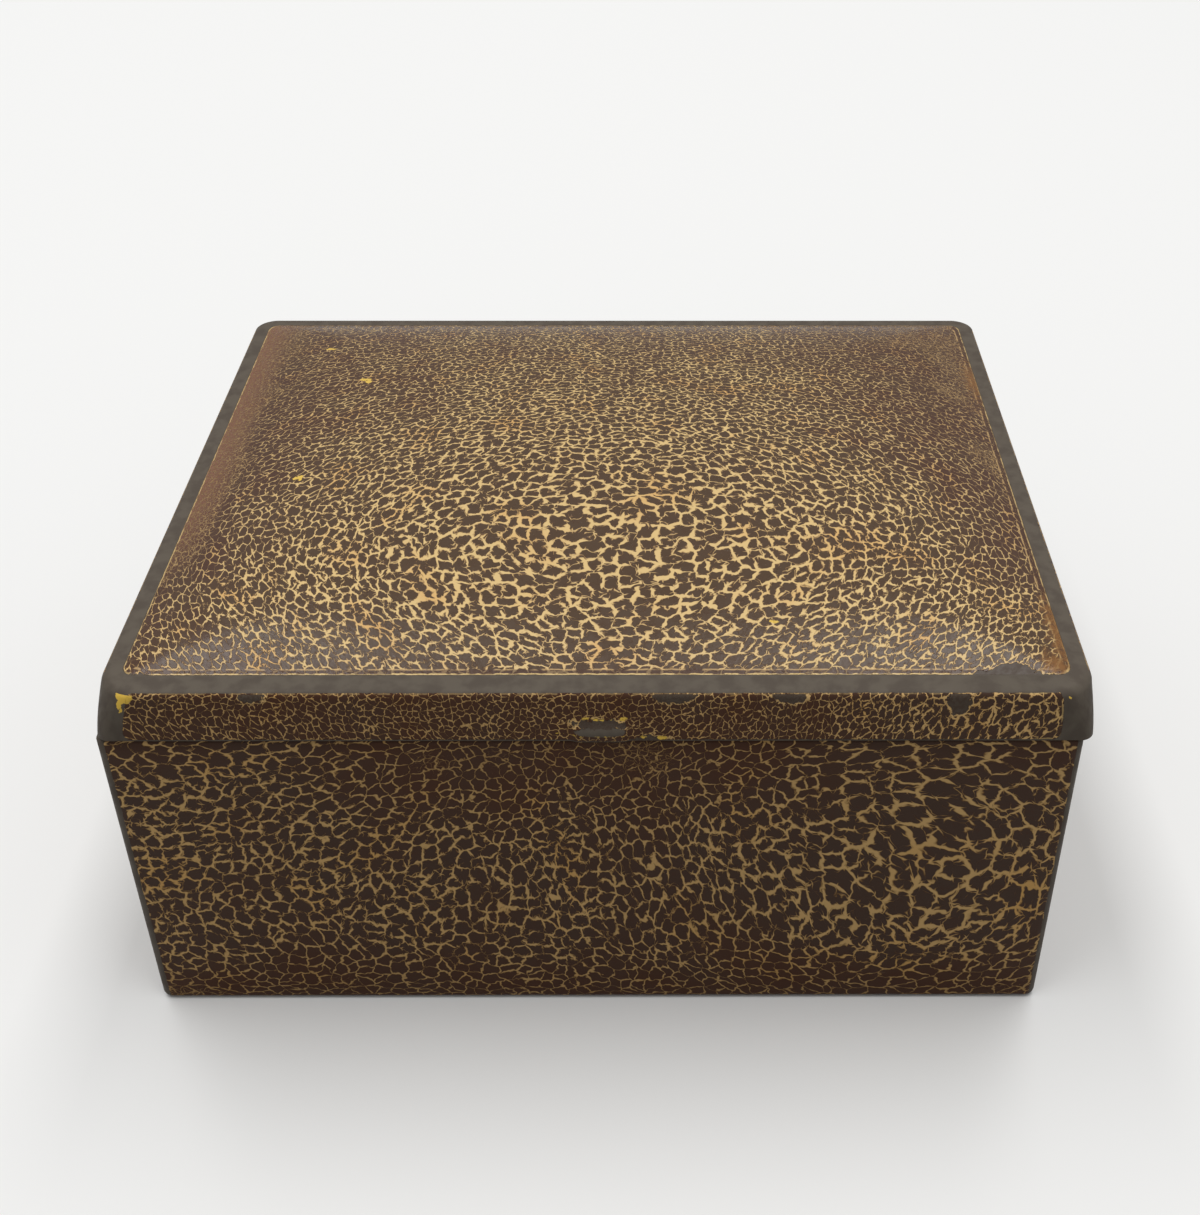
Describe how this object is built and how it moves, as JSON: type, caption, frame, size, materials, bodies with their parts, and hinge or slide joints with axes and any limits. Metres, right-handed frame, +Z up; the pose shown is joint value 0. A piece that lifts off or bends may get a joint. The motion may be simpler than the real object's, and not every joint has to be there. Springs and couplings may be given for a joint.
{
  "type": "hinged trinket box",
  "caption": "Small rectangular tin trinket box in crackle lacquer, with a shallow pillow-topped lid that swings on riveted pin hinges at the back and a thumb lip pressed in its front skirt.",
  "frame": {"origin": "middle of the footprint, on the surface that the box stands on", "axes": "+Z up, +X along the length of the box to the right, -Y towards the front with the thumb lip"},
  "size_m": [0.1142, 0.0986, 0.0537],
  "materials": {
    "crackle_lacquer": "dark maroon-brown lacquer crackled over gold on tinplate, satin gloss, edges worn to dull metal",
    "gold_lacquer": "clear gold lacquer on tinplate, lightly aged",
    "hinge_steel": "dull, darkened steel strip",
    "pin_steel": "dull steel wire and rivets"
  },
  "bodies": {
    "case": {"body_wall": "crackle_lacquer", "floor_pan": "gold_lacquer", "hinge_body_leaf_left": "hinge_steel", "hinge_body_leaf_right": "hinge_steel", "hinge_pin_left": "pin_steel", "hinge_pin_right": "pin_steel", "body_rivet_left_1": "pin_steel", "body_rivet_left_2": "pin_steel", "body_rivet_right_1": "pin_steel", "body_rivet_right_2": "pin_steel"},
    "lid": {"lid_shell": "crackle_lacquer", "hinge_lid_leaf_left": "hinge_steel", "hinge_lid_leaf_right": "hinge_steel", "lid_rivet_left_1": "pin_steel", "lid_rivet_left_2": "pin_steel", "lid_rivet_right_1": "pin_steel", "lid_rivet_right_2": "pin_steel"}
  },
  "joints": [
    {"name": "lid_hinge", "type": "hinge", "parent": "case", "child": "lid", "pos_m": [0, 0.04885, 0.0439], "axis": [-1, 0, 0], "range_deg": [0, 195]}
  ]
}
